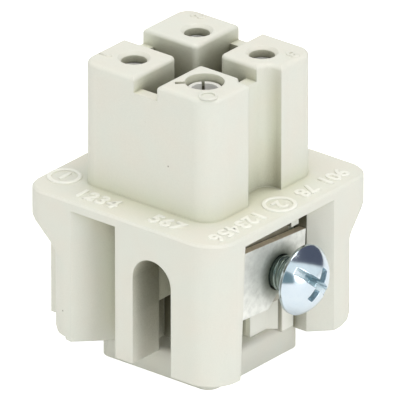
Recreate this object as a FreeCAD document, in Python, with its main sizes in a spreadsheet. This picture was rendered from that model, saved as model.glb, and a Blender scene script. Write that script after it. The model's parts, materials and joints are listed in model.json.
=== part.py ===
import FreeCAD, Part
import os
import re
import Sketcher
from FreeCAD import Placement, Rotation, Vector

# Female insert with three power contacts and an earth contact.
# +Z is the mating direction, the origin lies on the base's underside, below the
# middle of the contact tower. All lengths are in millimetres, angles in degrees.
SIZES = {
    # flange
    "flange_size": 24.0,
    "flange_thick": 3.05,
    "flange_top": 17.5,
    "flange_corner": 2.5,
    "front_corner": 3.2,
    "flange_lip": 1.0,
    "flange_edge": 0.25,
    # contact tower
    "tower_size": 15.9,
    "tower_height": 12.85,
    "tower_corner": 1.6,
    "earth_corner": 2.1,
    "tower_edge": 0.45,
    "cross_width": 2.9,
    "cross_depth": 10.5,
    "cross_corner": 0.55,
    "web_thick": 1.26,
    "web_drop": 1.6,
    "key_width": 5.0,
    "key_depth": 1.95,
    "key_offset": 0.3,
    "key_round": 1.3,
    # places of the contacts
    "pole_offset": 4.33,
    "third_pole_shift": 0.67,
    # skirt with its legs
    "leg_bottom": 2.7,
    "skirt_inset_x": 2.87,
    "skirt_inset_y": 2.12,
    "shoulder_drop": 3.15,
    "leg_edge": 0.8,
    "leg_step": 0.35,
    "side_rib_reach": 0.9,
    "side_rib_thick": 0.8,
    "side_rib_place": 2.0,
    "side_rib_bottom": 4.0,
    "leg_width": 3.2,
    "front_leg_width": 5.6,
    "front_leg_depth": 4.36,
    "front_leg_taper": 0.7,
    "middle_leg_width": 2.15,
    "arch_width": 4.7,
    "arch_depth": 4.0,
    "arch_spring": 11.85,
    "arch_step": 0.15,
    "cable_room_depth": 2.4,
    "cable_room_top": 7.8,
    "cable_room_width": 1.35,
    # recess of the earth terminal
    "bay_wall": 3.98,
    "bay_wall_depth": 1.87,
    "bay_depth": 5.9,
    "bay_block_depth": 4.95,
    "bay_block_left": -0.8,
    "bay_block_right": 1.62,
    "bay_rib_depth": 3.5,
    "bay_rib_left": 2.4,
    "bay_rib_foot": 4.1,
    "bay_rib_round": 0.25,
    "plate_stop_width": 1.1,
    "plate_stop_left": 1.3,
    "plate_stop_reach": 1.9,
    "plate_stop_bottom": 14.8,
    # square base that closes the terminal chambers
    "base_thick": 2.9,
    "base_rim": 0.67,
    "base_reach": 3.57,
    "base_corner": 1.25,
    "base_round": 0.6,
    "peg_radius": 1.1,
    "peg_length": 4.0,
    "peg_spacing": 4.6,
    "peg_place": 0.4,
    "peg_play": 0.05,
    # sockets for the power contacts
    "pin_bore": 1.25,
    "socket_wall": 0.35,
    "socket_sink": 1.15,
    "socket_shoulder": 13.2,
    "shoulder_height": 1.0,
    "shoulder_width": 0.4,
    "socket_slit": 0.3,
    "slit_length": 6.0,
    "bore_floor": 20.0,
    "mouth_bevel": 0.33,
    "sleeve_wall": 0.2,
    "sleeve_length": 7.0,
    "sleeve_play": 0.04,
    "sleeve_drop": 0.5,
    "chamber_play": 0.08,
    # terminal block at the foot of each power contact
    "block_width": 4.2,
    "block_outer": 2.2,
    "block_inner": 2.9,
    "wire_offset": 0.83,
    "wire_radius": 1.4,
    "jacket_radius": 1.75,
    "wire_depth": 8.6,
    "clamp_height": 8.2,
    "clamp_radius": 1.0,
    "clamp_head": 1.45,
    "clamp_head_height": 1.1,
    "clamp_length": 3.2,
    "clamp_slot": 0.5,
    "clamp_slot_depth": 0.6,
    "clamp_play": 0.05,
    "driver_radius": 1.75,
    "guard_thick": 0.2,
    "guard_width": 1.8,
    "guard_tail": 3.0,
    # earth socket with its sleeve, strap, clamping plate, leaf and screw
    "earth_bore": 1.3,
    "earth_wall": 0.4,
    "earth_sink": 0.75,
    "earth_hole": 1.9,
    "earth_ledge": 0.6,
    "earth_sleeve_drop": 1.5,
    "stud_radius": 1.2,
    "rivet_radius": 1.7,
    "rivet_height": 0.7,
    "strap_thick": 0.8,
    "strap_width": 4.6,
    "strap_foot": 13.9,
    "strap_reach": 2.4,
    "strap_length": 8.9,
    "strap_drop": 6.9,
    "collar_radius": 2.5,
    "collar_length": 1.1,
    "plate_thick": 0.8,
    "plate_height": 6.9,
    "plate_left": 7.2,
    "plate_right": 3.65,
    "plate_notch": 1.6,
    "plate_notch_depth": 1.2,
    "plate_inset": 1.9,
    "plate_turn": 4.0,
    "plate_play": 0.06,
    "screw_height": 10.5,
    "screw_radius": 1.7,
    "screw_play": 0.1,
    "screw_stand": 2.63,
    "screw_length": 5.4,
    "screw_chamfer": 0.3,
    "head_radius": 3.5,
    "head_rim": 0.3,
    "head_height": 2.3,
    "head_slot": 0.75,
    "head_slot_depth": 1.3,
    "recess_span": 4.0,
    "recess_width": 0.95,
    "recess_floor_span": 1.3,
    "recess_floor_width": 0.6,
    "recess_depth": 1.9,
    "screw_turn": 47.5,
    "leaf_thick": 0.3,
    "leaf_width": 0.62,
    "leaf_gap": 0.1,
    "leaf_length": 6.0,
    "leaf_sink": 0.35,
}

# How far a cutting outline runs past the face that it opens.
PAST = "1"
# Nearness at which two lengths count as equal.
NEAR = 1e-4

doc = FreeCAD.newDocument("ConnectorInsert")
sheet = doc.addObject("Spreadsheet::Sheet", "Sizes")
for row, (alias, value) in enumerate(SIZES.items(), start=1):
    sheet.set(f"A{row}", alias)
    sheet.set(f"B{row}", str(value))
    sheet.setAlias(f"B{row}", alias)
doc.recompute()


def size(text):
    """Expression over the sheet, from words that are aliases there."""
    return re.sub(r"[a-z_]+", lambda word: "Sizes." + word[0] if word[0] in SIZES else word[0], text)


def number(text):
    """Present value of an expression."""
    return float(sheet.evalExpression(size(text)))


# Derived places, each an expression over the sheet.
HALF_FLANGE = "flange_size / 2"
HALF_TOWER = "tower_size / 2"
HALF_CROSS = "cross_width / 2"
TOWER_TOP = "(flange_top + tower_height)"
FLANGE_UNDER = "(flange_top - flange_thick)"
LIP_UNDER = "(flange_top - flange_lip)"
SKIRT_LEFT = "(skirt_inset_x - flange_size / 2)"
SKIRT_BACK = "(flange_size / 2 - skirt_inset_y)"
LEG_EDGE = "(skirt_inset_x + leg_width - flange_size / 2)"
FRONT_LEG_LEFT = "(flange_size / 2 - front_leg_width)"
BAY_BACK = "(flange_size / 2 - bay_depth)"
BAY_BLOCK = "(flange_size / 2 - bay_block_depth)"
BAY_RIB = "(flange_size / 2 - bay_rib_depth)"
BASE_NEAR = "(pole_offset - wire_offset + jacket_radius + base_rim)"
BASE_FAR = "(pole_offset + base_reach)"
FRONT_LEG_BACK = "(front_leg_depth - flange_size / 2)"
ARCH_LEFT = "(flange_size / 2 - front_leg_width - arch_width)"
MIDDLE_LEG_LEFT = "(flange_size / 2 - front_leg_width - arch_width - middle_leg_width)"
KEY_LEFT = "(key_offset - key_width / 2)"
KEY_RIGHT = "(key_offset + key_width / 2)"
KEY_FLOOR = "(tower_size / 2 - key_depth)"
SOCKET_MOUTH = "(flange_top + tower_height - socket_sink)"
EARTH_MOUTH = "(flange_top + tower_height - earth_sink)"
SOCKET_OUTER = "(pin_bore + socket_wall)"
SLEEVE_INNER = "(pin_bore + socket_wall + sleeve_play)"
BLOCK_BOTTOM = "(base_thick + chamber_play)"
CHAMBER = "(pin_bore + socket_wall + sleeve_play + sleeve_wall + chamber_play)"
EARTH_OUTER = "(earth_bore + earth_wall)"
EARTH_CHAMBER = "(earth_bore + earth_wall + sleeve_play + sleeve_wall + chamber_play)"
HEAD_UNDER = "(flange_size / 2 - plate_inset + screw_stand)"
PLATE_BACK = "(flange_size / 2 - plate_inset - plate_thick)"
STRAP_FACE = "(flange_size / 2 - plate_inset - plate_thick - plate_play)"
LEAF_NEAR = "(earth_bore + earth_wall + sleeve_play + sleeve_wall + chamber_play + leaf_gap)"
SLIT_END = "(earth_bore + earth_wall + sleeve_play + sleeve_wall + chamber_play + 2 * leaf_gap + leaf_width)"

# Profile of the neck between skirt and flange: shares of its drop and of the skirt's inset.
SHOULDER_CURVE = [
    ("1", "1"),
    ("0.82", "0.88"),
    ("0.15", "0.1"),
    ("0", "0"),
]

# Round of the legs' ends, a quarter circle: shares of its radius upwards and inwards.
LEG_END_CURVE = [("0", "1"), ("0.3", "0.3"), ("1", "0")]

# Contact places: expressions for x and y, and the way its clamp screw faces.
POLES = {
    "1": ("-pole_offset", "-pole_offset", 180),
    "2": ("third_pole_shift - pole_offset", "pole_offset", 90),
    "3": ("pole_offset", "pole_offset", 90),
}
EARTH_X = "pole_offset"
EARTH_Y = "-pole_offset"


def new_body(name):
    body = doc.addObject("PartDesign::Body", name)
    body.Label = name
    return body


def new_sketch(body, plane_role, level="0"):
    """Sketch on one of the body's origin planes, moved along the plane's normal."""
    plane = next(f for f in body.Origin.OriginFeatures if f.Role == plane_role)
    sketch = body.newObject("Sketcher::SketchObject", body.Name + "_sketch")
    sketch.AttachmentSupport = [(plane, "")]
    sketch.MapMode = "FlatFace"
    sketch.setExpression("AttachmentOffset.Base.z", size(level))
    return sketch


def pin_point(sketch, curve, end, *distances):
    """Hold one point of a curve at distances from the sketch's origin."""
    for kind, value in distances:
        index = sketch.addConstraint(Sketcher.Constraint(kind, -1, 1, curve, end, number(value)))
        sketch.setExpression(f"Constraints[{index}]", size(value))


def draw_outline(sketch, points):
    """Closed outline. A point may carry the centre of an arc that runs anticlockwise to the next."""
    places = [Vector(number(point[0]), number(point[1]), 0) for point in points]
    curves = []
    for index, point in enumerate(points):
        start = places[index]
        end = places[(index + 1) % len(places)]
        if len(point) == 2:
            curves.append(sketch.addGeometry(Part.LineSegment(start, end)))
            continue
        centre = Vector(number(point[2]), number(point[3]), 0)
        circle = Part.Circle(centre, Vector(0, 0, 1), (start - centre).Length)
        arc = Part.ArcOfCircle(circle, circle.parameter(start), circle.parameter(end))
        curves.append(sketch.addGeometry(arc))
    for index, (point, curve) in enumerate(zip(points, curves)):
        following = curves[(index + 1) % len(curves)]
        sketch.addConstraint(Sketcher.Constraint("Coincident", curve, 2, following, 1))
        pin_point(sketch, curve, 1, ("DistanceX", point[0]), ("DistanceY", point[1]))
        if len(point) > 2:
            pin_point(sketch, curve, 3, ("DistanceY", point[3]))


def draw_circle(sketch, x, y, radius):
    centre = Vector(number(x), number(y), 0)
    curve = sketch.addGeometry(Part.Circle(centre, Vector(0, 0, 1), number(radius)))
    pin_point(sketch, curve, 3, ("DistanceX", x), ("DistanceY", y))
    index = sketch.addConstraint(Sketcher.Constraint("Radius", curve, number(radius)))
    sketch.setExpression(f"Constraints[{index}]", size(radius))


def box_outline(left, right, front, back):
    return [(left, front), (right, front), (right, back), (left, back)]


def rounded_outline(left, right, front, back, radius, front_right_radius=None):
    """Rectangle with round corners, the front right one with a radius of its own."""
    near = front_right_radius or radius
    return [
        (f"{left} + {radius}", front),
        (f"{right} - {near}", front, f"{right} - {near}", f"{front} + {near}"),
        (right, f"{front} + {near}"),
        (right, f"{back} - {radius}", f"{right} - {radius}", f"{back} - {radius}"),
        (f"{right} - {radius}", back),
        (f"{left} + {radius}", back, f"{left} + {radius}", f"{back} - {radius}"),
        (left, f"{back} - {radius}"),
        (left, f"{front} + {radius}", f"{left} + {radius}", f"{front} + {radius}"),
    ]


def extrude(body, kind, sketch, length, reverse=False):
    """Pad or pocket by a length, checked to change the solid's volume."""
    before = body.Shape.Volume if body.Tip else 0.0
    feature = body.newObject("PartDesign::" + kind, body.Name + "_" + kind.lower())
    feature.Profile = sketch
    feature.setExpression("Length", size(length))
    feature.Reversed = reverse
    doc.recompute()
    grown = body.Shape.Volume - before
    if (kind == "Pad") != (grown > 0) or abs(grown) < NEAR:
        raise RuntimeError(f"{feature.Name} changes the volume by {grown:.4f}")
    return feature


def pad(body, plane_role, level, points, length, reverse=False):
    sketch = new_sketch(body, plane_role, level)
    draw_outline(sketch, points)
    return extrude(body, "Pad", sketch, length, reverse)


def pocket(body, plane_role, level, points, length, reverse=False):
    sketch = new_sketch(body, plane_role, level)
    draw_outline(sketch, points)
    return extrude(body, "Pocket", sketch, length, reverse)


def round_pad(body, plane_role, level, x, y, radius, length, reverse=False):
    sketch = new_sketch(body, plane_role, level)
    draw_circle(sketch, x, y, radius)
    return extrude(body, "Pad", sketch, length, reverse)


def drill(body, plane_role, level, x, y, radius, length, reverse=False):
    sketch = new_sketch(body, plane_role, level)
    draw_circle(sketch, x, y, radius)
    return extrude(body, "Pocket", sketch, length, reverse)


def revolve(body, points):
    """Full turn of a profile of radii and heights about the body's Z axis."""
    sketch = new_sketch(body, "XZ_Plane")
    draw_outline(sketch, points)
    feature = body.newObject("PartDesign::Revolution", body.Name + "_turning")
    feature.Profile = sketch
    feature.ReferenceAxis = (sketch, ["V_Axis"])
    feature.Angle = 360
    doc.recompute()
    return feature


def loft(body, sections, kind="Additive"):
    """Solid added or taken away with straight sides between outlines, each given with its level."""
    sketches = []
    for level, points in sections:
        sketch = new_sketch(body, "XY_Plane", level)
        draw_outline(sketch, points)
        sketches.append(sketch)
    feature = body.newObject(f"PartDesign::{kind}Loft", body.Name + "_loft")
    feature.Profile = sketches[0]
    feature.Sections = sketches[1:]
    feature.Ruled = True
    doc.recompute()
    return feature


def dress(body, kind, amount, test):
    """Fillet or chamfer on the edges of the body's tip that pass a test."""
    tip = body.Tip
    names = [f"Edge{index}" for index, edge in enumerate(tip.Shape.Edges, start=1) if test(edge)]
    if not names:
        raise RuntimeError(f"{body.Name} has no edge for its {kind.lower()}")
    feature = body.newObject("PartDesign::" + kind, body.Name + "_" + kind.lower())
    feature.Base = (tip, names)
    feature.setExpression("Radius" if kind == "Fillet" else "Size", size(amount))
    doc.recompute()
    if "Invalid" in feature.State or not feature.Shape.isValid():
        raise RuntimeError(f"{feature.Name} fails on {len(names)} edges")
    return feature


def upright_at(places):
    """Test for upright straight edges at given x, y expressions."""
    spots = [(number(x), number(y)) for x, y in places]

    def test(edge):
        if edge.Curve.TypeId != "Part::GeomLine" or abs(edge.tangentAt(edge.FirstParameter).z) < 1 - NEAR:
            return False
        middle = edge.CenterOfMass
        return any(abs(middle.x - x) < NEAR and abs(middle.y - y) < NEAR for x, y in spots)

    return test


def level_at(height):
    """Test for edges that lie wholly at one height."""
    level = number(height)

    def test(edge):
        box = edge.BoundBox
        return abs(box.ZMin - level) < NEAR and abs(box.ZMax - level) < NEAR

    return test


def place(body, x, y, height, rotation=None):
    """Put a body by expressions, turned first about its own origin."""
    body.Placement = Placement(Vector(0, 0, 0), rotation or Rotation())
    for letter, value in zip("xyz", (x, y, height)):
        body.setExpression(f"Placement.Base.{letter}", size(value))


def make_insulating_body():
    """One moulding: four contact towers, flange, skirt with its legs and the terminal core."""
    body = new_body("insulating_body")
    half = HALF_FLANGE
    tower = HALF_TOWER
    rim = rounded_outline("-" + half, half, "-" + half, half, "flange_corner", "front_corner")
    skirt = skirt_outline("0")
    block = rounded_outline("-" + tower, tower, "-" + tower, tower, "tower_corner", "earth_corner")
    pad(body, "XY_Plane", FLANGE_UNDER, rim, "flange_thick")
    pad(body, "XY_Plane", "flange_top", block, "tower_height")
    pad(body, "XY_Plane", "leg_bottom + leg_edge", skirt, FLANGE_UNDER + " - leg_bottom - leg_edge")
    loft(body, [shoulder_section(drop, inset) for drop, inset in SHOULDER_CURVE])
    loft(body, [(f"leg_bottom + {rise} * leg_edge", skirt_outline(f"{inset} * leg_edge"))
                for rise, inset in LEG_END_CURVE])
    add_side_rib(body)
    cut_leg_step(body)
    cut_key_groove(body)
    cut_cross(body)
    cut_front_recess(body)
    cut_arch(body)
    cut_earth_bay(body)
    add_plate_stop(body)
    cut_pole_chambers(body)
    cut_earth_chamber(body)
    cut_base_seat(body)
    soften_edges(body)
    return body


def skirt_outline(inset):
    """Outline of the skirt, moved in on its left and back sides only."""
    return rounded_outline(f"({SKIRT_LEFT} + {inset})", HALF_FLANGE, "-" + HALF_FLANGE,
                           f"({SKIRT_BACK} - {inset})", "flange_corner", "front_corner")


def shoulder_section(drop, inset):
    """Level and outline of the neck under the flange, by shares of its drop and of the skirt's inset."""
    left = f"({inset} * skirt_inset_x - {HALF_FLANGE})"
    back = f"({HALF_FLANGE} - {inset} * skirt_inset_y)"
    outline = rounded_outline(left, HALF_FLANGE, "-" + HALF_FLANGE, back, "flange_corner", "front_corner")
    return f"{FLANGE_UNDER} - {drop} * shoulder_drop", outline


def add_side_rib(body):
    """Thin upright rib on the left leg, from low on the leg up into the neck."""
    front = "(side_rib_place - flange_size / 2)"
    outline = box_outline(SKIRT_LEFT + " - side_rib_reach", f"{SKIRT_LEFT} + {PAST}", front,
                          front + " + side_rib_thick")
    rib_height = FLANGE_UNDER + " - shoulder_drop / 2 - side_rib_bottom"
    pad(body, "XY_Plane", "side_rib_bottom", outline, rib_height)


def cut_leg_step(body):
    """Shallow step under the left leg's rounded corner."""
    left = f"({SKIRT_LEFT} - {PAST})"
    front = f"(-{HALF_FLANGE} - {PAST})"
    outline = box_outline(left, SKIRT_LEFT + " + flange_corner", front, "flange_corner - " + HALF_FLANGE)
    pocket(body, "XY_Plane", "leg_bottom", outline, "leg_step", reverse=True)


def add_plate_stop(body):
    """Small tab under the lip that keeps the clamping plate from riding up."""
    outline = box_outline(BAY_RIB, BAY_RIB + " + plate_stop_reach", "plate_stop_left",
                          "plate_stop_left + plate_stop_width")
    pad(body, "XY_Plane", "plate_stop_bottom", outline, LIP_UNDER + " - plate_stop_bottom")


def cut_key_groove(body):
    """Rounded keyway down the tower's right face."""
    floor = KEY_FLOOR
    points = [
        (f"{HALF_TOWER} + {PAST}", KEY_LEFT),
        (f"{HALF_TOWER} + {PAST}", KEY_RIGHT),
        (floor + " + key_round", KEY_RIGHT, floor + " + key_round", KEY_RIGHT + " - key_round"),
        (floor, KEY_RIGHT + " - key_round"),
        (floor, KEY_LEFT + " + key_round", floor + " + key_round", KEY_LEFT + " + key_round"),
        (floor + " + key_round", KEY_LEFT),
    ]
    pocket(body, "XY_Plane", TOWER_TOP, points, "tower_height")


def cut_cross(body):
    """Cross-shaped slot between the towers, closed at its ends by low webs."""
    near = "(tower_size / 2 - web_thick)"
    key = "(tower_size / 2 - key_depth - web_thick)"
    slot = HALF_CROSS
    deep = [
        ("-" + near, "-" + slot), ("-" + slot, "-" + slot), ("-" + slot, "-" + near),
        (slot, "-" + near), (slot, "-" + slot), (key, "-" + slot), (key, slot), (slot, slot),
        (slot, near), ("-" + slot, near), ("-" + slot, slot), ("-" + near, slot),
    ]
    pocket(body, "XY_Plane", TOWER_TOP, deep, "cross_depth")
    over = f"({HALF_TOWER} + {PAST})"
    pocket(body, "XY_Plane", TOWER_TOP, box_outline("-" + over, over, "-" + slot, slot), "web_drop")
    pocket(body, "XY_Plane", TOWER_TOP, box_outline("-" + slot, slot, "-" + over, over), "web_drop")
    inner = [(x + slot, y + slot) for x in ("-", "") for y in ("-", "")]
    dress(body, "Fillet", "cross_corner", upright_at(inner))


def cut_front_recess(body):
    """Three-cornered recess between the left leg and the middle leg, behind it a slanting wall."""
    front = "(-flange_size / 2)"
    depth = f"({MIDDLE_LEG_LEFT} - {LEG_EDGE})"
    points = [
        (LEG_EDGE, front),
        (f"{LEG_EDGE} - {PAST}", f"{front} - {PAST}"),
        (MIDDLE_LEG_LEFT, f"{front} - {PAST}"),
        (MIDDLE_LEG_LEFT, front + " + " + depth),
    ]
    pocket(body, "XY_Plane", "leg_bottom", points, LIP_UNDER + " - leg_bottom", reverse=True)


def cut_arch(body):
    """Round-topped slot up the front face, a little wider at its rear, and the cable room beside it."""
    radius = "arch_width / 2"
    centre = ARCH_LEFT + " + " + radius
    front_part = [
        (ARCH_LEFT, "leg_bottom"),
        (FRONT_LEG_LEFT, "leg_bottom"),
        (FRONT_LEG_LEFT, "arch_spring", centre, "arch_spring"),
        (ARCH_LEFT, "arch_spring"),
    ]
    pocket(body, "XZ_Plane", HALF_FLANGE, front_part, "arch_depth")
    wide = ARCH_LEFT + " - arch_step"
    rear_part = [
        (wide, "leg_bottom"),
        (FRONT_LEG_LEFT, "leg_bottom"),
        (FRONT_LEG_LEFT, "arch_spring", centre + " - arch_step / 2", "arch_spring"),
        (wide, "arch_spring"),
    ]
    pocket(body, "XZ_Plane", HALF_FLANGE + " - arch_depth", rear_part, "cable_room_depth")
    room = box_outline(ARCH_LEFT + " - cable_room_width", f"{ARCH_LEFT} + {PAST}",
                       "arch_depth - flange_size / 2", "arch_depth + cable_room_depth - flange_size / 2")
    pocket(body, "XY_Plane", "leg_bottom", room, "cable_room_top - leg_bottom", reverse=True)


def cut_earth_bay(body):
    """Recess in the right face that holds the earth terminal, with the core's ribs behind it."""
    outside = f"({HALF_FLANGE} + {PAST})"
    points = [
        (outside, FRONT_LEG_BACK),
        (outside, f"bay_wall + {PAST} + bay_wall_depth"),
        (HALF_FLANGE + " - bay_wall_depth", "bay_wall"),
        (BAY_RIB, "bay_wall"),
        (BAY_RIB, "bay_rib_left"),
        (HALF_FLANGE + " - bay_rib_foot", "bay_rib_left"),
        (BAY_BLOCK, "bay_block_right"),
        (BAY_BLOCK, "bay_block_left"),
        (BAY_BACK, "bay_block_left"),
        (BAY_BACK, FRONT_LEG_BACK),
    ]
    pocket(body, "XY_Plane", "leg_bottom", points, LIP_UNDER + " - leg_bottom", reverse=True)
    dress(body, "Fillet", "bay_rib_round", upright_at([(BAY_RIB, "bay_rib_left")]))
    taper = [
        (FRONT_LEG_BACK, LIP_UNDER),
        (FRONT_LEG_BACK + " - front_leg_taper", "leg_bottom"),
        (FRONT_LEG_BACK, "leg_bottom"),
    ]
    pocket(body, "YZ_Plane", outside, taper, outside + " - " + BAY_BACK)
    collar_end = f"({STRAP_FACE} - strap_thick - collar_length - screw_play)"
    drill(body, "YZ_Plane", collar_end, "0", "screw_height", "collar_radius + screw_play",
          STRAP_FACE + " - " + collar_end, reverse=True)


def cut_pole_chambers(body):
    """Stepped chamber for each power contact, and the way in for its screwdriver."""
    play = "chamber_play"
    for x, y, facing in POLES.values():
        drill(body, "XY_Plane", TOWER_TOP, x, y, "pin_bore", "tower_height")
        reach = SOCKET_MOUTH + " + chamber_play - base_thick"
        drill(body, "XY_Plane", "base_thick", x, y, CHAMBER, reach, True)
        block_top = f"socket_shoulder + shoulder_height + {play} - leg_bottom"
        inner = f"(block_inner + {play})"
        outer = f"(block_outer + {play})"
        side = f"(block_width / 2 + {play})"
        if facing == 180:
            box = box_outline(f"{x} - {outer}", f"{x} + {inner}", f"{y} - {side}", f"{y} + {side}")
        else:
            box = box_outline(f"{x} - {side}", f"{x} + {side}", f"{y} - {inner}", f"{y} + {outer}")
        pocket(body, "XY_Plane", "leg_bottom", box, block_top, reverse=True)
        if facing == 180:
            drill(body, "YZ_Plane", SKIRT_LEFT, y, "clamp_height", "driver_radius",
                  f"{x} - {SKIRT_LEFT}", reverse=True)
        else:
            drill(body, "XZ_Plane", "-" + SKIRT_BACK, x, "clamp_height", "driver_radius",
                  f"{SKIRT_BACK} - pole_offset", reverse=True)


def cut_earth_chamber(body):
    """Chamber of the earth socket, the channel of its strap and the slit of its leaf."""
    drill(body, "XY_Plane", TOWER_TOP, EARTH_X, EARTH_Y, "earth_hole", "tower_height")
    top = EARTH_MOUTH + " - earth_ledge - strap_foot - strap_thick"
    drill(body, "XY_Plane", "strap_foot + strap_thick", EARTH_X, EARTH_Y, EARTH_CHAMBER, top, True)
    channel = box_outline("pole_offset - strap_reach - chamber_play", BAY_RIB,
                          "-pole_offset - strap_width / 2 - chamber_play",
                          "-pole_offset + strap_width / 2 + chamber_play")
    pocket(body, "XY_Plane", "strap_foot - rivet_height - chamber_play", channel,
           "rivet_height + strap_thick + 2 * chamber_play", reverse=True)
    slit = diagonal_outline("earth_hole - leaf_thick", SLIT_END, "leaf_thick / 2 + leaf_gap")
    pocket(body, "XY_Plane", TOWER_TOP, slit, "leaf_length + leaf_sink + leaf_gap")


def diagonal_outline(near, far, half_width):
    """Rectangle along the line from the earth hole to the middle of the front face's left end."""
    corners = []
    for reach, side in ((near, "+"), (near, "-"), (far, "-"), (far, "+")):
        x = f"{EARTH_X} + (-({reach}) {side} ({half_width})) * sqrt(0.5)"
        y = f"{EARTH_Y} + (-({reach}) {'-' if side == '+' else '+'} ({half_width})) * sqrt(0.5)"
        corners.append((x, y))
    return corners


def base_outline(play):
    """Outline that clears the wire holes at left and back, and shows past the core at front and right."""
    near = f"({BASE_NEAR} + {play})"
    far = f"({BASE_FAR} + {play})"
    return rounded_outline("-" + near, far, "-" + far, near, "base_corner")


def cut_base_seat(body):
    """Shallow seat for the base, with blind holes that take its pegs."""
    seat_depth = "(base_thick - leg_bottom)"
    pocket(body, "XY_Plane", "leg_bottom", base_outline("peg_play"), seat_depth, reverse=True)
    for x in ("peg_place", "peg_place - peg_spacing"):
        drill(body, "XY_Plane", "base_thick", x, "-peg_place", "peg_radius + peg_play",
              "peg_length + peg_play", True)


def soften_edges(body):
    """Moulded radii on the tower tops, the flange rim and the mouths of the holes."""
    top = level_at(TOWER_TOP)
    poles = [(number(x), number(y)) for x, y, _ in POLES.values()]

    def mouth(edge):
        if edge.Curve.TypeId != "Part::GeomCircle" or not top(edge):
            return False
        return any((edge.Curve.Center - Vector(x, y, edge.Curve.Center.z)).Length < NEAR for x, y in poles)

    dress(body, "Chamfer", "mouth_bevel", mouth)
    reach = number(HALF_TOWER)
    cross = number(HALF_CROSS)
    earth = Vector(number(EARTH_X), number(EARTH_Y), number(TOWER_TOP))
    slit_reach = number(SLIT_END + " + leaf_gap")

    def rim(edge):
        if not level_at(TOWER_TOP)(edge) or edge.Closed:
            return False
        middle = edge.CenterOfMass
        return (middle - earth).Length > slit_reach and max(abs(middle.x), abs(middle.y)) <= reach + cross

    dress(body, "Fillet", "tower_edge", rim)
    inside = number(HALF_TOWER) + number("tower_corner")

    def flange_rim(edge):
        middle = edge.CenterOfMass
        return level_at("flange_top")(edge) and max(abs(middle.x), abs(middle.y)) > inside

    dress(body, "Chamfer", "flange_edge", flange_rim)


def make_base():
    """Square base with pegs and a bell-mouthed hole for each power wire."""
    body = new_body("terminal_base")
    pad(body, "XY_Plane", "0", base_outline("0"), "base_thick")
    dress(body, "Fillet", "base_round", level_at("base_thick"))
    for x in ("peg_place", "peg_place - peg_spacing"):
        round_pad(body, "XY_Plane", "base_thick", x, "-peg_place", "peg_radius", "peg_length")
    for x, y, facing in POLES.values():
        shift_x = x + " + wire_offset" if facing == 180 else x
        shift_y = y if facing == 180 else y + " - wire_offset"
        drill(body, "XY_Plane", "0", shift_x, shift_y, "jacket_radius", "base_thick", True)
    return body


def make_socket(name, x, y, facing):
    """Turned and slit socket on a drilled terminal block, in one piece of brass."""
    body = new_body("socket_contact_" + name)
    ring = SOCKET_OUTER + " + shoulder_width"
    revolve(body, [
        ("0", "socket_shoulder - shoulder_height"),
        (ring, "socket_shoulder - shoulder_height"),
        (ring, "socket_shoulder + shoulder_height"),
        (SOCKET_OUTER, "socket_shoulder + shoulder_height"),
        (SOCKET_OUTER, SOCKET_MOUTH),
        ("pin_bore", SOCKET_MOUTH),
        ("pin_bore", "bore_floor"),
        ("0", "bore_floor"),
    ])
    pad(body, "XY_Plane", BLOCK_BOTTOM,
        box_outline("-block_inner", "block_outer", "-block_width / 2", "block_width / 2"),
        "socket_shoulder - " + BLOCK_BOTTOM)
    drill(body, "XY_Plane", BLOCK_BOTTOM, "-wire_offset", "0", "wire_radius", "wire_depth", True)
    drill(body, "YZ_Plane", "block_outer", "0", "clamp_height", "clamp_radius + clamp_play",
          "block_outer + wire_offset")
    slit = "socket_slit / 2"
    reach = f"{SOCKET_OUTER} + {PAST}"
    pocket(body, "XY_Plane", SOCKET_MOUTH, box_outline("-" + slit, slit, "-" + reach, reach), "slit_length")
    pocket(body, "XY_Plane", SOCKET_MOUTH, box_outline("-" + reach, reach, "-" + slit, slit), "slit_length")
    place(body, x, y, "0", Rotation(Vector(0, 0, 1), facing))
    return body


def make_sleeve(name, inner, top, x, y):
    """Spring sleeve round a slit socket, open along one side."""
    body = new_body(name)
    outer = inner + " + sleeve_wall"
    revolve(body, [
        (inner, top + " - sleeve_length"),
        (outer, top + " - sleeve_length"),
        (outer, top),
        (inner, top),
    ])
    gap = box_outline("0", f"{outer} + {PAST}", "-socket_slit / 2", "socket_slit / 2")
    pocket(body, "XY_Plane", top, gap, f"sleeve_length + {PAST}")
    place(body, x, y, "0", Rotation(Vector(0, 0, 1), 45))
    return body


def make_clamp_screw(name, x, y, facing):
    """Slotted clamping screw, its head outside the terminal block."""
    body = new_body("clamp_screw_" + name)
    revolve(body, [
        ("0", "-clamp_length"),
        ("clamp_radius", "-clamp_length"),
        ("clamp_radius", "0"),
        ("clamp_head", "0"),
        ("clamp_head", "clamp_head_height"),
        ("0", "clamp_head_height"),
    ])
    reach = f"clamp_head + {PAST}"
    pocket(body, "XY_Plane", "clamp_head_height",
           box_outline("-" + reach, reach, "-clamp_slot / 2", "clamp_slot / 2"), "clamp_slot_depth")
    turn = Rotation(Vector(0, 0, 1), facing) * Rotation(Vector(0, 1, 0), 90)
    seat = "(block_outer + chamber_play)"
    if facing == 180:
        place(body, f"{x} - {seat}", y, "clamp_height", turn)
    else:
        place(body, x, f"{y} + {seat}", "clamp_height", turn)
    return body


def make_wire_guard(name, x, y, facing):
    """Thin leaf between the clamping screw's tip and the wire."""
    body = new_body("wire_guard_" + name)
    face = "(block_outer + chamber_play - clamp_length - clamp_play)"
    pad(body, "YZ_Plane", face + " - guard_thick",
        box_outline("-guard_width / 2", "guard_width / 2", "clamp_height - guard_tail",
                    "clamp_height + guard_tail / 2"),
        "guard_thick")
    place(body, x, y, "0", Rotation(Vector(0, 0, 1), facing))
    return body


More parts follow.
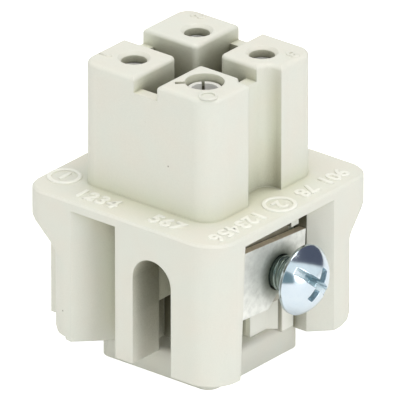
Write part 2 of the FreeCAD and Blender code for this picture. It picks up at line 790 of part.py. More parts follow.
def make_earth_socket():
    """Earth socket, riveted by its stud into the foot of the strap."""
    body = new_body("earth_socket")
    revolve(body, [
        ("0", "strap_foot - rivet_height"),
        ("rivet_radius", "strap_foot - rivet_height"),
        ("rivet_radius", "strap_foot"),
        ("stud_radius", "strap_foot"),
        ("stud_radius", "strap_foot + strap_thick"),
        (EARTH_OUTER, "strap_foot + strap_thick"),
        (EARTH_OUTER, EARTH_MOUTH),
        ("earth_bore", EARTH_MOUTH),
        ("earth_bore", "bore_floor"),
        ("0", "bore_floor"),
    ])
    slit = "socket_slit / 2"
    reach = f"{EARTH_OUTER} + {PAST}"
    pocket(body, "XY_Plane", EARTH_MOUTH, box_outline("-" + slit, slit, "-" + reach, reach), "slit_length")
    pocket(body, "XY_Plane", EARTH_MOUTH, box_outline("-" + reach, reach, "-" + slit, slit), "slit_length")
    place(body, EARTH_X, EARTH_Y, "0", Rotation(Vector(0, 0, 1), 45))
    return body


def make_earth_strap():
    """Bent strap from the earth socket down behind the plate, with a drawn collar for the screw."""
    body = new_body("earth_strap")
    back = STRAP_FACE + " - strap_thick"
    front = "-pole_offset - strap_width / 2"
    pad(body, "XY_Plane", "strap_foot",
        box_outline("pole_offset - strap_reach", STRAP_FACE, front, "-pole_offset + strap_width / 2"),
        "strap_thick")
    pad(body, "YZ_Plane", back,
        box_outline(front, front + " + strap_length", "screw_height - strap_drop / 2",
                    "strap_foot + strap_thick"),
        "strap_thick")
    round_pad(body, "YZ_Plane", back, "0", "screw_height", "collar_radius", "collar_length", True)
    drill(body, "YZ_Plane", STRAP_FACE, "0", "screw_height", "screw_radius + screw_play",
          "strap_thick + collar_length")
    drill(body, "XY_Plane", "strap_foot + strap_thick", EARTH_X, EARTH_Y, "stud_radius", "strap_thick")
    return body


def make_earth_plate():
    """Loose clamping plate that the screw presses on the wire, turned a little on the screw."""
    body = new_body("earth_plate")
    low = "(-plate_height / 2)"
    high = "(plate_height / 2)"
    points = [
        ("-plate_left", low),
        ("-plate_notch", low),
        ("-plate_notch + plate_notch_depth", low + " + plate_notch_depth"),
        ("plate_right", low + " + plate_notch_depth"),
        ("plate_right", high),
        ("-plate_left", high),
    ]
    pad(body, "YZ_Plane", "0", points, "plate_thick")
    drill(body, "YZ_Plane", "plate_thick", "0", "0", "screw_radius + screw_play", "plate_thick")
    place(body, PLATE_BACK, "0", "screw_height", Rotation(Vector(1, 0, 0), -number("plate_turn")))
    return body


def make_earth_screw():
    """Pan-head screw with a slot and a cross recess."""
    body = new_body("earth_screw")
    dome = "((head_radius ^ 2 + (head_height - head_rim) ^ 2) / (2 * (head_height - head_rim)))"
    revolve(body, [
        ("0", "-screw_length"),
        ("screw_radius - screw_chamfer", "-screw_length"),
        ("screw_radius", "screw_chamfer - screw_length"),
        ("screw_radius", "0"),
        ("head_radius", "0"),
        ("head_radius", "head_rim", "0", f"head_height - {dome}"),
        ("0", "head_height"),
    ])
    pocket(body, "XY_Plane", "head_height",
           box_outline("-head_radius", "head_radius", "-head_slot / 2", "head_slot / 2"), "head_slot_depth")
    floor = cross_outline("recess_floor_span / 2", "recess_floor_width / 2")
    mouth = cross_outline("recess_span / 2", "recess_width / 2")
    loft(body, [("head_height - recess_depth", floor), ("head_height", mouth)], "Subtractive")
    turn = Rotation(Vector(1, 0, 0), number("screw_turn")) * Rotation(Vector(0, 1, 0), 90)
    place(body, HEAD_UNDER, "0", "screw_height", turn)
    return body


def cross_outline(arm, side):
    """Plus-shaped outline from half an arm's span and half its width."""
    return [
        ("-" + arm, "-" + side), ("-" + side, "-" + side), ("-" + side, "-" + arm), (side, "-" + arm),
        (side, "-" + side), (arm, "-" + side), (arm, side), (side, side),
        (side, arm), ("-" + side, arm), ("-" + side, side), ("-" + arm, side),
    ]


def make_earth_leaf():
    """Contact leaf that stands beside the earth socket, seen through the slit in its tower."""
    body = new_body("earth_leaf")
    pad(body, "XY_Plane", TOWER_TOP + " - leaf_sink - leaf_length",
        diagonal_outline(LEAF_NEAR, LEAF_NEAR + " + leaf_width", "leaf_thick / 2"), "leaf_length")
    return body


def make_parts():
    parts = [make_insulating_body(), make_base()]
    for name, (x, y, facing) in POLES.items():
        parts.append(make_socket(name, x, y, facing))
        sleeve_top = SOCKET_MOUTH + " - sleeve_drop"
        parts.append(make_sleeve("socket_sleeve_" + name, SLEEVE_INNER, sleeve_top, x, y))
        parts.append(make_clamp_screw(name, x, y, facing))
        parts.append(make_wire_guard(name, x, y, facing))
    parts.append(make_earth_socket())
    around = EARTH_OUTER + " + sleeve_play"
    parts.append(make_sleeve("earth_sleeve", around, EARTH_MOUTH + " - earth_sleeve_drop", EARTH_X, EARTH_Y))
    parts += [make_earth_strap(), make_earth_plate(), make_earth_screw(), make_earth_leaf()]
    return parts


def check(parts):
    """Stop on a failed feature or a sub-part that is not one sound solid."""
    for item in doc.Objects:
        if "Invalid" in item.State or "Error" in item.State:
            raise RuntimeError(f"{item.Name} is {item.State}")
    for part in parts:
        shape = part.Shape
        if shape.isNull() or not shape.isValid() or len(shape.Solids) != 1:
            raise RuntimeError(f"{part.Label} is not one sound solid")


def export(parts):
    os.makedirs("parts", exist_ok=True)
    for part in parts:
        part.Shape.exportStep(f"parts/{part.Label}.step")
        print(f"{part.Label}: {part.Shape.Volume:.2f} mm3")


all_parts = make_parts()
doc.recompute()
check(all_parts)
export(all_parts)
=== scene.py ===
import json
import math

import bpy
from mathutils import Matrix, Vector


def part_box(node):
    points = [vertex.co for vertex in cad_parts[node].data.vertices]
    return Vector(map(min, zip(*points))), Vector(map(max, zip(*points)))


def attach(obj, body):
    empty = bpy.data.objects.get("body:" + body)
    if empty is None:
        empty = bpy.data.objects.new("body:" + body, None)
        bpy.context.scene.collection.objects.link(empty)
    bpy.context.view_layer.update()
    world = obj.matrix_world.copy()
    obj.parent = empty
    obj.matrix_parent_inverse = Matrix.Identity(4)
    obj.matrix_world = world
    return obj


# Looks of a small connector insert: moulded plastic, plated metal, raised marks,
# the turns of the earth screw's thread, the studio and the camera. Lengths in metres.
MM = 0.001

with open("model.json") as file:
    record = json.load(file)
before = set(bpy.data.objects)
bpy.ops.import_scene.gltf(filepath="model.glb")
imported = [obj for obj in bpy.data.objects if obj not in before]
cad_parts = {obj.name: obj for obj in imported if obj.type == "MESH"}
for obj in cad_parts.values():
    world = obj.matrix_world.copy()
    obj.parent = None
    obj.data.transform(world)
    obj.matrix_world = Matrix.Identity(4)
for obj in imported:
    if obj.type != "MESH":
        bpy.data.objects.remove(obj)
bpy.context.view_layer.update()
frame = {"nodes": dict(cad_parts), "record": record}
nodes = frame["nodes"]
body_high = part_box("insulating_body")[1]
plate_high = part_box("earth_plate")[1]
screw_low, screw_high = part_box("earth_screw")
# Faces of the solids by which marks, painted shade and painted light are placed. The arch is
# the opening in the front leg, the room is the space behind it, and the bay holds the earth screw.
TOWER_TOP = body_high.z
TOWER_HALF = 7.95 * MM
FLANGE_TOP = 17.5 * MM
FLANGE_HALF = body_high.y
BASE_TOP = 2.9 * MM
ARCH_LEFT = 1.6 * MM
ARCH_RIGHT = 6.5 * MM
ARCH_TOP = 14.3 * MM
ROOM_FRONT = -8.0 * MM
ROOM_TOP = 7.6 * MM
BAY_FRONT = 8.8 * MM
BAY_TOP = 12.0 * MM
SHANK_RADIUS = 1.7 * MM
HEAD_DEPTH = 2.3 * MM
# Raised marks and thread.
FIGURE_HEIGHT = 1.65 * MM
FIGURE_SPREAD = 1.08
TOWER_FIGURE_HEIGHT = 1.25 * MM
RING_RADIUS = 1.5 * MM
RING_WIDTH = 0.42 * MM
MARK_DEPTH = 0.16 * MM
MARK_BEVEL = 0.05 * MM
FONT_FIGURE_SHARE = 0.7
THREAD_PITCH = 0.45 * MM
THREAD_HEIGHT = 0.10 * MM
# Bounds beyond every part of a unit normal, and the part that a level face's normal passes.
UNDER_ALL = -2.0
OVER_ALL = 2.0
LEVEL = 0.5


def new_material(name):
    """A new node material and its Principled shader."""
    material = bpy.data.materials.new(name)
    material.use_nodes = True
    return material, material.node_tree.nodes["Principled BSDF"]


def add_node(material, kind, **sockets):
    """A new node, with values for the inputs that are named."""
    node = material.node_tree.nodes.new(kind)
    for name, value in sockets.items():
        node.inputs[name.replace("_", " ")].default_value = value
    return node


def link(material, source, target):
    """Join an output to an input."""
    material.node_tree.links.new(source, target)


def noise(material, scale, detail=4.0, roughness=0.55):
    """Noise in object space, so that its grain has a real size."""
    place = add_node(material, "ShaderNodeTexCoord")
    texture = add_node(material, "ShaderNodeTexNoise", Scale=scale, Detail=detail,
                       Roughness=roughness)
    link(material, place.outputs["Object"], texture.inputs["Vector"])
    return texture.outputs["Fac"]


def ramp(material, value, stops):
    """Colour ramp over a value, its stops given as (place, colour)."""
    node = add_node(material, "ShaderNodeValToRGB")
    elements = node.color_ramp.elements
    while len(elements) < len(stops):
        elements.new(0.5)
    for element, (place, colour) in zip(elements, stops):
        element.position = place
        element.color = (*colour, 1.0)
    link(material, value, node.inputs["Fac"])
    return node.outputs["Color"]


def mix(material, factor, first, second, blend="MIX"):
    """Mix of two colours, each a socket or plain values, by a socket or a number."""
    node = add_node(material, "ShaderNodeMix")
    node.data_type = "RGBA"
    node.blend_type = blend
    for index, value in ((0, factor), (6, first), (7, second)):
        if hasattr(value, "links"):
            link(material, value, node.inputs[index])
        elif index == 0:
            node.inputs[index].default_value = value
        else:
            node.inputs[index].default_value = (*value, 1.0)
    return node.outputs[2]


def maths(material, operation, first, second=0.0, clamp=False):
    """Result of a sum on two values, each a socket or a number."""
    node = add_node(material, "ShaderNodeMath")
    node.operation = operation
    node.use_clamp = clamp
    for index, value in enumerate((first, second)):
        if hasattr(value, "links"):
            link(material, value, node.inputs[index])
        else:
            node.inputs[index].default_value = value
    return node.outputs["Value"]


def axes(material, vector):
    """The three parts of a vector."""
    node = add_node(material, "ShaderNodeSeparateXYZ")
    link(material, vector, node.inputs["Vector"])
    return node.outputs["X"], node.outputs["Y"], node.outputs["Z"]


def within(material, bounds):
    """One where every value lies between its two bounds, else zero."""
    share = 1.0
    for value, low, high in bounds:
        for test, bound in (("GREATER_THAN", low), ("LESS_THAN", high)):
            share = maths(material, "MULTIPLY", share, maths(material, test, value, bound))
    return share


def bump(material, height, strength, distance, normal):
    """A normal, roughened by a height."""
    node = add_node(material, "ShaderNodeBump", Strength=strength, Distance=distance)
    link(material, height, node.inputs["Height"])
    link(material, normal, node.inputs["Normal"])
    return node.outputs["Normal"]


def rounded_normal(material, radius):
    """Surface normal as if every edge had a small radius."""
    node = add_node(material, "ShaderNodeBevel", Radius=radius)
    node.samples = 8
    return node.outputs["Normal"]


def edge_share(material, rounded):
    """How much the rounded normal differs from the plain one: high on edges, zero on faces."""
    plain = add_node(material, "ShaderNodeNewGeometry")
    product = add_node(material, "ShaderNodeVectorMath")
    product.operation = "DOT_PRODUCT"
    link(material, rounded, product.inputs[0])
    link(material, plain.outputs["Normal"], product.inputs[1])
    return maths(material, "SUBTRACT", 1.0, product.outputs["Value"], clamp=True)


def closeness(material, distance, own=True):
    """Share of the surroundings within a distance that is covered, by the piece itself or,
    where own is false, by any piece."""
    node = add_node(material, "ShaderNodeAmbientOcclusion", Distance=distance)
    node.samples = 8
    node.only_local = own
    return maths(material, "SUBTRACT", 1.0, node.outputs["AO"], clamp=True)


def make_plastic(name="moulded_plastic", mark_highlight=0.0, pale=(0.83, 0.82, 0.75)):
    """Pebble grey moulded plastic: satin, finely grained, with a few dark specks, and a painted
    highlight of pale tint on its edges. The lift is the share of that painted highlight laid over
    the whole face of raised marks. Painted shade makes corners a little darker and yellower,
    creases darker, and deep places dark, most of all behind the arch and on the bay's far wall.
    The bay's outward faces get painted light: they are paler and take less painted shade."""
    white = (1.0, 1.0, 1.0)
    black = (0.0, 0.0, 0.0)
    plain = (0.735, 0.735, 0.655)
    warm = (0.75, 0.725, 0.64)
    deep = (0.11, 0.10, 0.055)
    speck = (0.30, 0.27, 0.21)
    material, shader = new_material(name)
    cloud = noise(material, 260.0, detail=2.0)
    colour = mix(material, ramp(material, cloud, [(0.35, black), (0.7, white)]), plain, warm)
    grain = noise(material, 9000.0, detail=3.0)
    grain_tint = ramp(material, grain, [(0.3, (0.96, 0.96, 0.96)), (0.7, white)])
    colour = mix(material, 1.0, colour, grain_tint, blend="MULTIPLY")
    place = add_node(material, "ShaderNodeTexCoord")
    cells = add_node(material, "ShaderNodeTexVoronoi", Scale=260.0)
    link(material, place.outputs["Object"], cells.inputs["Vector"])
    spots = ramp(material, cells.outputs["Distance"], [(0.014, white), (0.03, black)])
    colour = mix(material, spots, colour, speck)
    hidden = closeness(material, 7.0 * MM)
    # Painted shade: where the piece itself covers its surroundings within 7 mm, the colour turns a
    # little darker and yellower.
    painted_corner_shade = ramp(material, hidden, [(0.22, white), (0.52, (0.945, 0.955, 0.86))])
    colour = mix(material, 1.0, colour, painted_corner_shade, blend="MULTIPLY")
    # Painted shade in creases: surfaces covered within 0.6 mm turn darker.
    near = closeness(material, 0.6 * MM)
    painted_crease_shade = ramp(material, near, [(0.22, white), (0.50, (0.88, 0.87, 0.82))])
    colour = mix(material, 1.0, colour, painted_crease_shade, blend="MULTIPLY")
    x, y, z = axes(material, place.outputs["Object"])
    normal = add_node(material, "ShaderNodeNewGeometry").outputs["Normal"]
    normal_x, normal_y, normal_z = axes(material, normal)
    # Places of painted shade: the arch, the room behind it, the room's floor and the bay's far
    # wall. The bay's outward faces take painted light.
    arch = within(material, [(x, ARCH_LEFT, ARCH_RIGHT), (y, 0.05 * MM - FLANGE_HALF, ROOM_FRONT),
                             (z, 0.0, ARCH_TOP), (normal_z, UNDER_ALL, LEVEL)])
    room = within(material, [(x, -TOWER_HALF, ARCH_RIGHT), (y, ROOM_FRONT, 4.0 * MM),
                             (z, 0.0, ROOM_TOP), (normal_z, UNDER_ALL, LEVEL)])
    room_floor = within(material, [(x, -TOWER_HALF, 4.5 * MM), (y, ROOM_FRONT, 0.0),
                                   (z, 0.0, 3.0 * MM), (normal_z, LEVEL, OVER_ALL)])
    wall = within(material, [(x, 6.0 * MM, FLANGE_HALF), (y, 1.0 * MM, 9.0 * MM),
                             (z, 0.0, 16.0 * MM), (normal_y, UNDER_ALL, -0.9)])
    bay = within(material, [(x, 4.0 * MM, BAY_FRONT), (y, -6.0 * MM, 5.0 * MM),
                            (z, BASE_TOP, BAY_TOP), (normal_x, LEVEL, OVER_ALL)])
    # Painted light: the bay's outward faces are paler and take less painted shade.
    colour = mix(material, maths(material, "MULTIPLY", bay, 0.8), colour, (0.93, 0.92, 0.84))
    for region, share in ((bay, -0.35), (arch, 0.22), (room, 0.22), (room_floor, 0.25),
                          (wall, 0.42)):
        hidden = maths(material, "ADD", hidden, maths(material, "MULTIPLY", region, share))
    # Painted shade: deep places turn a dark brownish colour, more so in the arch, the room, its
    # floor and on the bay's far wall.
    depth = ramp(material, hidden, [(0.50, black), (0.90, white)])
    colour = mix(material, depth, colour, deep)
    rounded = rounded_normal(material, 0.16 * MM)
    # Painted highlight: a pale tint on edges, and over the whole face of raised marks by their
    # given share.
    edge = maths(material, "MULTIPLY", edge_share(material, rounded), 1.6)
    edge = maths(material, "ADD", edge, mark_highlight, clamp=True)
    colour = mix(material, edge, colour, pale)
    link(material, colour, shader.inputs["Base Color"])
    link(material, bump(material, grain, 0.12, 0.03 * MM, rounded), shader.inputs["Normal"])
    shine = ramp(material, cloud, [(0.3, (0.44, 0.44, 0.44)), (0.7, (0.52, 0.52, 0.52))])
    link(material, shine, shader.inputs["Roughness"])
    shader.inputs["IOR"].default_value = 1.5
    return material


def make_metal(name, colour, tint, roughness, grain_size, grain_depth, scuff=0.0, shade=None,
               head_from=None, painted_reflection_centre=None, edge_from=0.35, metal=1.0):
    """Plated metal with a soft variation of tint, grain and shine. The shade is a painted shade,
    the tint laid where other surfaces stand near, from a covered share of edge_from on, where the
    metal is also less metallic. Below the height of a screw's head, along X, the metal gets a dark
    olive painted shade and reflection. The halo is the place of a screw; around it a dark ring is
    painted as a reflection and shade of its dark shank and head, on a sheet with a browner cut
    edge."""
    white = (1.0, 1.0, 1.0)
    material, shader = new_material(name)
    cloud = noise(material, 900.0)
    mask = ramp(material, cloud, [(0.35, (0.0, 0.0, 0.0)), (0.65, white)])
    blend = mix(material, mask, colour, tint)
    grain = noise(material, grain_size, detail=6.0, roughness=0.65)
    shader.inputs["Metallic"].default_value = metal
    if scuff:
        wear = ramp(material, grain, [(0.42, white), (0.62, (1 - scuff, 1 - scuff, 1 - scuff))])
        blend = mix(material, 1.0, blend, wear, blend="MULTIPLY")
    if shade:
        # Painted shade: a dark tint where other surfaces stand within 2.5 mm, where the metal is
        # also less metallic.
        hidden = closeness(material, 2.5 * MM, own=False)
        edge_to = edge_from + 0.45
        painted_corner_shade = ramp(material, hidden, [(edge_from, white), (edge_to, shade)])
        blend = mix(material, 1.0, blend, painted_corner_shade, blend="MULTIPLY")
        dull = ramp(material, hidden,
                    [(edge_from, (metal, metal, metal)), (edge_to, (0.4, 0.4, 0.4))])
        link(material, dull, shader.inputs["Metallic"])
    if painted_reflection_centre or head_from:
        x, y, z = axes(material, add_node(material, "ShaderNodeTexCoord").outputs["Object"])
    if painted_reflection_centre:
        # Painted reflection and shade: a dark ring around the screw's place.
        across = maths(material, "SUBTRACT", y, painted_reflection_centre.y)
        along = maths(material, "SUBTRACT", z, painted_reflection_centre.z)
        reach = maths(material, "ADD", maths(material, "MULTIPLY", across, across),
                      maths(material, "MULTIPLY", along, along))
        reach = maths(material, "DIVIDE", maths(material, "SQRT", reach), 4.0 * MM)
        ring = ramp(material, reach, [(0.42, (0.25, 0.27, 0.22)), (0.80, white)])
        blend = mix(material, 1.0, blend, ring, blend="MULTIPLY")
        normal = add_node(material, "ShaderNodeNewGeometry").outputs["Normal"]
        cut = maths(material, "GREATER_THAN", axes(material, normal)[2], LEVEL)
        cut_tint = mix(material, cut, white, (1.0, 0.86, 0.74))
        blend = mix(material, 1.0, blend, cut_tint, blend="MULTIPLY")
    if head_from:
        # Painted shade and reflection: the shank below the screw's head turns a dark olive.
        head = maths(material, "GREATER_THAN", x, head_from)
        shank_painted_shade = mix(material, head, (0.36, 0.38, 0.31), white)
        blend = mix(material, 1.0, blend, shank_painted_shade, blend="MULTIPLY")
    link(material, blend, shader.inputs["Base Color"])
    low = (roughness, roughness, roughness)
    high = (roughness * 1.5, roughness * 1.5, roughness * 1.5)
    link(material, ramp(material, grain, [(0.3, low), (0.7, high)]), shader.inputs["Roughness"])
    rounded = rounded_normal(material, 0.1 * MM)
    link(material, bump(material, grain, 0.3, grain_depth, rounded), shader.inputs["Normal"])
    return material


def dress_nodes():
    """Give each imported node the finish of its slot."""
    head_from = screw_high.x - HEAD_DEPTH + 0.02 * MM
    screw_place = (screw_low + screw_high) / 2
    finishes = {
        "housing": make_plastic(),
        "contact_silver": make_metal("silver_plate", (0.97, 0.96, 0.94), (0.94, 0.93, 0.90), 0.30,
                                     3000.0, 0.01 * MM, metal=0.35),
        "spring_steel": make_metal("spring_sheet", (0.60, 0.60, 0.60), (0.52, 0.51, 0.50), 0.30,
                                   4000.0, 0.01 * MM),
        # Teal painted shade in the head's cross recess and where other parts stand near, and dark
        # olive painted shade on the shank.
        "zinc_plate": make_metal("blue_zinc", (0.70, 0.78, 0.85), (0.66, 0.75, 0.83), 0.12,
                                 1800.0, 0.01 * MM, shade=(0.55, 0.68, 0.68), head_from=head_from),
        # Painted shade where other parts stand near, and a painted reflection and shade of the
        # screw around its place.
        "plate_steel": make_metal("galvanised_sheet", (0.95, 0.95, 0.90), (0.87, 0.87, 0.82), 0.45,
                                  1300.0, 0.01 * MM, scuff=0.12, shade=(0.30, 0.29, 0.25),
                                  painted_reflection_centre=screw_place, edge_from=0.62, metal=0.7),
        # The strap's dark colours and its strong shade tint are painted shade of the narrow gap
        # where it shows.
        "strap_steel": make_metal("strap_sheet", (0.45, 0.43, 0.37), (0.37, 0.35, 0.29), 0.36,
                                  3000.0, 0.02 * MM, shade=(0.45, 0.44, 0.36), edge_from=0.15),
    }
    for part in frame["record"]["subparts"]:
        piece = nodes[part["node"]]
        for index in range(len(piece.data.materials)):
            piece.data.materials[index] = finishes[part["material_slot"]]
    return finishes


def add_piece(name, mesh, material):
    """Link a new mesh as a piece of the object."""
    piece = bpy.data.objects.new(name, mesh)
    bpy.context.scene.collection.objects.link(piece)
    piece.data.materials.clear()
    piece.data.materials.append(material)
    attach(piece, "root")
    return piece


def mark_mesh(text, height, spread):
    """Mesh of raised figures, centred on the origin, half of them above z = 0."""
    curve = bpy.data.curves.new("mark", "FONT")
    curve.body = text
    curve.size = height / FONT_FIGURE_SHARE
    curve.extrude = MARK_DEPTH / 2
    curve.bevel_depth = MARK_BEVEL
    curve.bevel_resolution = 1
    curve.offset = 0.03 * MM
    curve.space_character = spread
    curve.align_x = "CENTER"
    curve.align_y = "CENTER"
    curve.resolution_u = 4
    holder = bpy.data.objects.new("mark", curve)
    mesh = bpy.data.meshes.new_from_object(holder)
    bpy.data.objects.remove(holder)
    bpy.data.curves.remove(curve)
    return mesh


def add_mark(name, text, height, place, turn, material, spread=1.0):
    """Raised figures on a level face. The turn is about the vertical."""
    mesh = mark_mesh(text, height, spread)
    mesh.transform(Matrix.Translation(place) @ Matrix.Rotation(turn, 4, "Z"))
    return add_piece(name, mesh, material)


def add_ring(name, radius, width, place, material):
    """Raised flat ring with a softened section on a level face. The section's points are shares
    of its width and depth."""
    turns = 48
    section = [(-0.5, -0.2), (-0.5, 0.7), (-0.3, 1.0), (0.3, 1.0), (0.5, 0.7), (0.5, -0.2)]
    x, y, z = place
    points = []
    faces = []
    for step in range(turns):
        angle = math.tau * step / turns
        for across, up in section:
            reach = radius + across * width
            points.append((x + reach * math.cos(angle), y + reach * math.sin(angle),
                           z + up * MARK_DEPTH))
    count = len(section)
    for step in range(turns):
        here = step * count
        there = (step + 1) % turns * count
        for index in range(count):
            following = (index + 1) % count
            faces.append((here + index, there + index, there + following, here + following))
    mesh = bpy.data.meshes.new(name)
    mesh.from_pydata(points, [], faces)
    mesh.validate()
    mesh.polygons.foreach_set("use_smooth", [True] * len(mesh.polygons))
    return add_piece(name, mesh, material)


def add_marks(plastic, highlit_plastic):
    """Contact numbers on the towers, plain figures and two numbered rings on the flange. The
    flange's marks are of the plastic with a painted highlight.
    """
    outward = math.radians(-90)
    rim = -(TOWER_HALF + FLANGE_HALF) / 2
    for text, x, y in (("1", -6.9, -5.6), ("2", -5.6, 6.9), ("3", 6.9, 5.6)):
        add_mark("contact_figure_" + text, text, TOWER_FIGURE_HEIGHT,
                 (x * MM, y * MM, TOWER_TOP), outward, plastic)
    add_ring("earth_ring", 0.8 * MM, 0.3 * MM, (6.7 * MM, -6.75 * MM, TOWER_TOP), plastic)
    for name, text, x in (("front_figures_left", "1234", -4.3),
                          ("front_figures_right", "567", 4.2)):
        add_mark(name, text, FIGURE_HEIGHT, (x * MM, rim, FLANGE_TOP), 0.0, highlit_plastic,
                 spread=FIGURE_SPREAD)
    left = (rim, rim + 2.0 * MM, FLANGE_TOP)
    add_ring("left_ring", RING_RADIUS, RING_WIDTH, left, highlit_plastic)
    add_mark("left_ring_figure", "1", RING_RADIUS, left, 0.0, highlit_plastic)
    add_mark("side_figures_near", "123456", FIGURE_HEIGHT, (-rim, -6.4 * MM, FLANGE_TOP), outward,
             highlit_plastic, spread=FIGURE_SPREAD)
    side = (-rim, 0.0, FLANGE_TOP)
    add_ring("side_ring", RING_RADIUS, RING_WIDTH, side, highlit_plastic)
    add_mark("side_ring_figure", "2", RING_RADIUS, side, outward, highlit_plastic)
    for name, text, y in (("side_figures_middle", "78", 4.0), ("side_figures_far", "901", 8.1)):
        add_mark(name, text, FIGURE_HEIGHT, (-rim, y * MM, FLANGE_TOP), outward, highlit_plastic)


def add_thread(material):
    """Turns of the earth screw's thread on the part of its shank that shows, thinned out at both
    ends."""
    root = -0.03 * MM
    end_gap = 0.05 * MM
    steps = 40
    start = plate_high.x + end_gap
    end = screw_high.x - HEAD_DEPTH - end_gap
    middle = (screw_low + screw_high) / 2
    total = int((end - start - THREAD_PITCH) / THREAD_PITCH * steps)
    points = []
    faces = []
    for step in range(total + 1):
        angle = math.tau * step / steps
        along = start + THREAD_PITCH / 2 + THREAD_PITCH * step / steps
        rise = THREAD_HEIGHT * min(1.0, 4 * step / steps, 4 * (total - step) / steps)
        for across, up in ((-0.45, root), (-0.1, rise), (0.1, rise), (0.45, root)):
            reach = SHANK_RADIUS + up
            points.append((along + across * THREAD_PITCH, middle.y + reach * math.cos(angle),
                           middle.z + reach * math.sin(angle)))
    for step in range(total):
        here = step * 4
        for index in range(4):
            following = (index + 1) % 4
            faces.append((here + index, here + following, here + 4 + following, here + 4 + index))
    faces.append((0, 3, 2, 1))
    last = total * 4
    faces.append((last, last + 1, last + 2, last + 3))
    mesh = bpy.data.meshes.new("earth_screw_thread")
    mesh.from_pydata(points, [], faces)
    mesh.validate()
    return add_piece("earth_screw_thread", mesh, material)


def make_floor():
    """Pale floor that stays white to the camera and keeps a soft shadow."""
    mesh = bpy.data.meshes.new("floor")
    reach = 2.0
    corners = [(-reach, -reach, 0), (reach, -reach, 0), (reach, reach, 0), (-reach, reach, 0)]
    mesh.from_pydata(corners, [], [(0, 1, 2, 3)])
    floor = bpy.data.objects.new("floor", mesh)
    bpy.context.scene.collection.objects.link(floor)
    material, shader = new_material("pale_floor")
    shader.inputs["Base Color"].default_value = (0.94, 0.94, 0.93, 1.0)
    shader.inputs["Roughness"].default_value = 0.9
    shader.inputs["Emission Color"].default_value = (1.0, 1.0, 1.0, 1.0)
    rays = add_node(material, "ShaderNodeLightPath")
    seen = maths(material, "MAXIMUM", rays.outputs["Is Camera Ray"],
                 rays.outputs["Is Transmission Ray"])
    reflected = maths(material, "MULTIPLY", rays.outputs["Is Glossy Ray"], 0.08)
    glow = maths(material, "ADD", maths(material, "MULTIPLY", seen, 0.75), reflected)
    link(material, glow, shader.inputs["Emission Strength"])
    mesh.materials.append(material)


def make_card(tree, direction, toward, start, full):
    """Share of a dark card seen in a direction: none at the start of the range of cosines, all at
    its end."""
    cosine = tree.nodes.new("ShaderNodeVectorMath")
    cosine.operation = "DOT_PRODUCT"
    cosine.inputs[1].default_value = Vector(toward).normalized()
    tree.links.new(direction, cosine.inputs[0])
    share = tree.nodes.new("ShaderNodeMapRange")
    share.inputs["From Min"].default_value = start
    share.inputs["From Max"].default_value = full
    tree.links.new(cosine.outputs["Value"], share.inputs["Value"])
    return share.outputs["Result"]


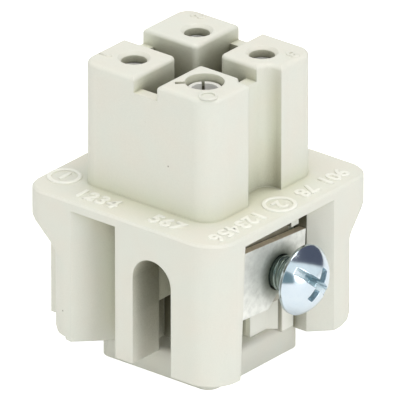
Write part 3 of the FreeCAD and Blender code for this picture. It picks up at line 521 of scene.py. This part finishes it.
def make_world():
    """White surroundings for the camera, a bright studio with two dark cards for reflections, and
    a plain level for the light."""
    world = bpy.data.worlds.new("studio")
    bpy.context.scene.world = world
    world.use_nodes = True
    tree = world.node_tree
    ambient = tree.nodes["Background"]
    ambient.inputs["Color"].default_value = (0.97, 0.985, 1.0, 1.0)
    ambient.inputs["Strength"].default_value = 0.55
    white = tree.nodes.new("ShaderNodeBackground")
    white.inputs["Strength"].default_value = 1.0
    place = tree.nodes.new("ShaderNodeTexCoord")
    direction = place.outputs["Generated"]
    top_card = make_card(tree, direction, (-0.35, 0.54, 0.77), 0.30, 0.38)
    right_half = make_card(tree, direction, (1.0, 0.0, 0.0), -0.30, -0.20)
    front_card = make_card(tree, direction, (0.56, -0.81, 0.16), 0.91, 0.93)
    above = tree.nodes.new("ShaderNodeMath")
    above.operation = "MULTIPLY"
    tree.links.new(top_card, above.inputs[0])
    tree.links.new(right_half, above.inputs[1])
    dimmed = tree.nodes.new("ShaderNodeMix")
    dimmed.data_type = "RGBA"
    dimmed.inputs[6].default_value = (0.92, 0.98, 0.98, 1.0)
    dimmed.inputs[7].default_value = (0.10, 0.11, 0.15, 1.0)
    tree.links.new(above.outputs["Value"], dimmed.inputs[0])
    studio_colour = tree.nodes.new("ShaderNodeMix")
    studio_colour.data_type = "RGBA"
    studio_colour.inputs[7].default_value = (0.18, 0.27, 0.30, 1.0)
    tree.links.new(front_card, studio_colour.inputs[0])
    tree.links.new(dimmed.outputs[2], studio_colour.inputs[6])
    studio = tree.nodes.new("ShaderNodeBackground")
    tree.links.new(studio_colour.outputs[2], studio.inputs["Color"])
    rays = tree.nodes.new("ShaderNodeLightPath")
    reflected = tree.nodes.new("ShaderNodeMixShader")
    tree.links.new(rays.outputs["Is Glossy Ray"], reflected.inputs["Fac"])
    tree.links.new(ambient.outputs["Background"], reflected.inputs[1])
    tree.links.new(studio.outputs["Background"], reflected.inputs[2])
    choice = tree.nodes.new("ShaderNodeMixShader")
    tree.links.new(rays.outputs["Is Camera Ray"], choice.inputs["Fac"])
    tree.links.new(reflected.outputs["Shader"], choice.inputs[1])
    tree.links.new(white.outputs["Background"], choice.inputs[2])
    tree.links.new(choice.outputs["Shader"], tree.nodes["World Output"].inputs["Surface"])


def add_lamp(name, place, width, power, colour):
    """Round soft lamp, aimed at the object's middle."""
    light = bpy.data.lights.new(name, "AREA")
    light.shape = "DISK"
    light.size = width
    light.energy = power
    light.color = colour
    holder = bpy.data.objects.new(name, light)
    holder.location = place
    bpy.context.scene.collection.objects.link(holder)
    toward = Vector((0.0, 0.0, 15 * MM)) - holder.location
    holder.rotation_euler = toward.to_track_quat("-Z", "Y").to_euler()


def add_lamps():
    """The three softboxes of the studio."""
    add_lamp("top_softbox", (0.05, 0.01, 0.45), 0.30, 1.03, (1.0, 0.975, 0.93))
    add_lamp("right_softbox", (0.43, -0.10, 0.13), 0.25, 0.615, (0.93, 0.965, 1.0))
    add_lamp("left_softbox", (-0.20, -0.46, 0.10), 0.20, 0.445, (0.955, 1.0, 0.965))


def add_camera():
    """Long lens at the photograph's angle."""
    azimuth = math.radians(39.1)
    elevation = math.radians(25.1)
    distance = 1.6
    view_width = 38.256 * MM
    right_shift = 0.18 * MM
    middle_height = 15.08 * MM
    away = Vector((math.sin(azimuth) * math.cos(elevation),
                   -math.cos(azimuth) * math.cos(elevation), math.sin(elevation)))
    target = Vector((math.cos(azimuth) * right_shift, math.sin(azimuth) * right_shift,
                     middle_height))
    data = bpy.data.cameras.new("camera")
    data.sensor_width = 36.0
    data.lens = data.sensor_width * distance / view_width
    data.clip_start = 0.01
    camera = bpy.data.objects.new("camera", data)
    camera.location = target + away * distance
    camera.rotation_euler = (-away).to_track_quat("-Z", "Y").to_euler()
    bpy.context.scene.collection.objects.link(camera)
    bpy.context.scene.camera = camera


finishes = dress_nodes()
# Plastic for the flange's raised marks, with a painted highlight laid over their whole face.
raised_plastic = make_plastic("raised_plastic", mark_highlight=0.8, pale=(0.86, 0.85, 0.78))
add_marks(finishes["housing"], raised_plastic)
add_thread(finishes["zinc_plate"])
make_floor()
make_world()
add_lamps()
add_camera()
bpy.context.scene.view_settings.view_transform = "Standard"
